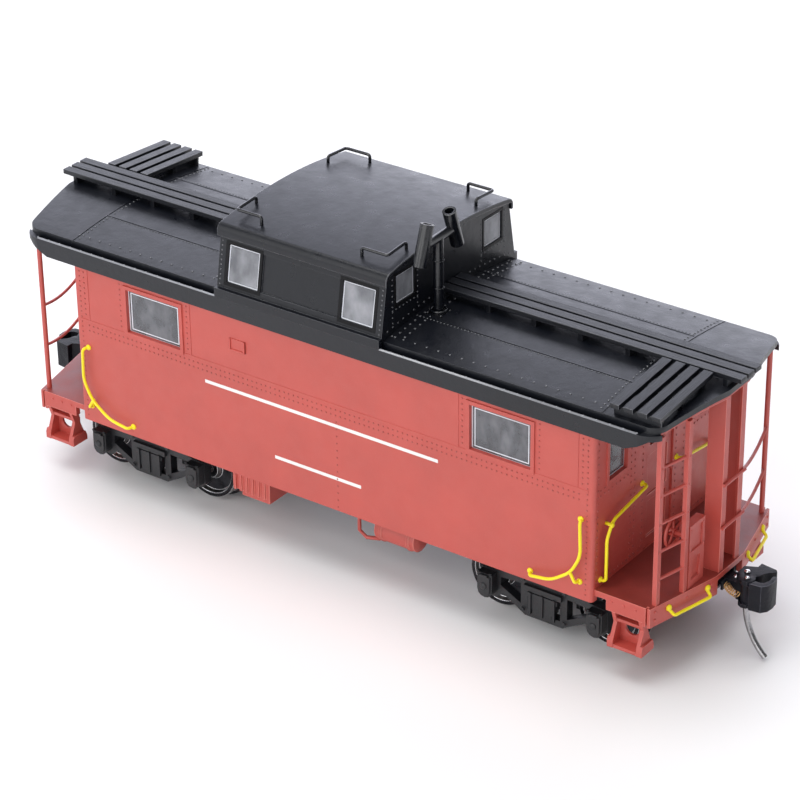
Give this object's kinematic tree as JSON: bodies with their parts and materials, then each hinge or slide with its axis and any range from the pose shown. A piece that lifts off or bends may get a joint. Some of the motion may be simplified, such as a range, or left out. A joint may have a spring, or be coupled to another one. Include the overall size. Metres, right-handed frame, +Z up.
{
  "type": "model caboose",
  "caption": "Scale model railway caboose: a closed cabin with a roof cupola, open end platforms with ladders, swivelling trucks with rolling wheelsets, and sprung knuckle couplers.",
  "frame": {"origin": "on the plane that touches the wheel flanges, under the middle of the car", "axes": "+X along the car to end a, +Y across the car, +Z up; end b is end a turned half a turn about Z"},
  "size_m": [0.1242, 0.0342, 0.0541],
  "materials": {
    "red_plastic": "matt oxide red",
    "clear_glass": "clear moulded plastic",
    "black_roof": "satin black",
    "roof_board": "satin black, moulded wood grain",
    "yellow_wire": "painted yellow",
    "jack_black": "satin black",
    "floor_plastic": "matt black",
    "weight_steel": "plain sheared steel",
    "screw_steel": "blackened steel",
    "truck_plastic": "matt black, slightly blue",
    "wheel_metal": "darkened, treads turned bright",
    "axle_steel": "turned steel",
    "coupler_metal": "cast, grey-black",
    "pin_steel": "dark steel wire",
    "spring_bronze": "phosphor bronze"
  },
  "bodies": {
    "car_body": {"body_shell": "red_plastic", "end_doors": "red_plastic", "body_glazing": "clear_glass", "floor_pan": "floor_plastic", "ballast_weight": "weight_steel", "main_roof": "black_roof", "end_carlines": "red_plastic", "running_boards": "roof_board", "lateral_boards": "roof_board", "cupola_grab_rails": "jack_black", "smoke_jack": "jack_black", "cupola_body": "black_roof", "cupola_roof": "black_roof", "cupola_glazing": "clear_glass", "corner_posts": "red_plastic", "side_grab_irons": "yellow_wire", "tool_box": "red_plastic", "air_reservoir": "red_plastic", "brake_cylinder": "red_plastic", "truck_screws": "screw_steel", "coupler_screws": "screw_steel", "centring_springs": "spring_bronze", "end_platform_a": "red_plastic", "steps_a": "red_plastic", "ladder_a": "red_plastic", "centre_posts_a": "red_plastic", "end_railing_a": "red_plastic", "brake_stand_a": "red_plastic", "brake_wheel_a": "red_plastic", "end_grab_irons_a": "yellow_wire", "coupler_box_a": "floor_plastic", "end_platform_b": "red_plastic", "steps_b": "red_plastic", "ladder_b": "red_plastic", "centre_posts_b": "red_plastic", "end_railing_b": "red_plastic", "brake_stand_b": "red_plastic", "brake_wheel_b": "red_plastic", "end_grab_irons_b": "yellow_wire", "coupler_box_b": "floor_plastic"},
    "truck_a": {"bolster_a": "truck_plastic", "side_frames_a": "truck_plastic"},
    "truck_b": {"bolster_b": "truck_plastic", "side_frames_b": "truck_plastic"},
    "wheelset_1": {"axle_1": "axle_steel", "wheels_1": "wheel_metal"},
    "wheelset_2": {"axle_2": "axle_steel", "wheels_2": "wheel_metal"},
    "wheelset_3": {"axle_3": "axle_steel", "wheels_3": "wheel_metal"},
    "wheelset_4": {"axle_4": "axle_steel", "wheels_4": "wheel_metal"},
    "coupler_a": {"coupler_head_a": "coupler_metal", "trip_pin_a": "pin_steel", "knuckle_spring_a": "spring_bronze"},
    "coupler_b": {"coupler_head_b": "coupler_metal", "trip_pin_b": "pin_steel", "knuckle_spring_b": "spring_bronze"},
    "knuckle_a": {"knuckle_a": "coupler_metal"},
    "knuckle_b": {"knuckle_b": "coupler_metal"}
  },
  "joints": [
    {"name": "truck_swivel_a", "type": "hinge", "parent": "car_body", "child": "truck_a", "pos_m": [0.0342, 0, 0.0089], "axis": [0, 0, 1], "range_deg": [-10, 10]},
    {"name": "truck_swivel_b", "type": "hinge", "parent": "car_body", "child": "truck_b", "pos_m": [-0.0342, 0, 0.0089], "axis": [0, 0, 1], "range_deg": [-10, 10]},
    {"name": "wheelset_spin_1", "type": "hinge", "parent": "truck_a", "child": "wheelset_1", "pos_m": [0.04295, 0, 0.00544], "axis": [0, 1, 0], "continuous": true},
    {"name": "wheelset_spin_2", "type": "hinge", "parent": "truck_a", "child": "wheelset_2", "pos_m": [0.02545, 0, 0.00544], "axis": [0, 1, 0], "continuous": true},
    {"name": "wheelset_spin_3", "type": "hinge", "parent": "truck_b", "child": "wheelset_3", "pos_m": [-0.04295, 0, 0.00544], "axis": [0, 1, 0], "continuous": true},
    {"name": "wheelset_spin_4", "type": "hinge", "parent": "truck_b", "child": "wheelset_4", "pos_m": [-0.02545, 0, 0.00544], "axis": [0, 1, 0], "continuous": true},
    {"name": "coupler_swing_a", "type": "hinge", "parent": "car_body", "child": "coupler_a", "pos_m": [0.051, 0, 0.0102], "axis": [0, 0, 1], "range_deg": [-8, 8], "stiffness_Nm_per_rad": 0.0001},
    {"name": "coupler_swing_b", "type": "hinge", "parent": "car_body", "child": "coupler_b", "pos_m": [-0.051, 0, 0.0102], "axis": [0, 0, 1], "range_deg": [-8, 8], "stiffness_Nm_per_rad": 0.0001},
    {"name": "knuckle_hinge_a", "type": "hinge", "parent": "coupler_a", "child": "knuckle_a", "pos_m": [0.05875, -0.00155, 0.0102], "axis": [0, 0, 1], "range_deg": [-18, 0], "stiffness_Nm_per_rad": 0.0001},
    {"name": "knuckle_hinge_b", "type": "hinge", "parent": "coupler_b", "child": "knuckle_b", "pos_m": [-0.05875, 0.00155, 0.0102], "axis": [0, 0, 1], "range_deg": [-18, 0], "stiffness_Nm_per_rad": 0.0001}
  ]
}
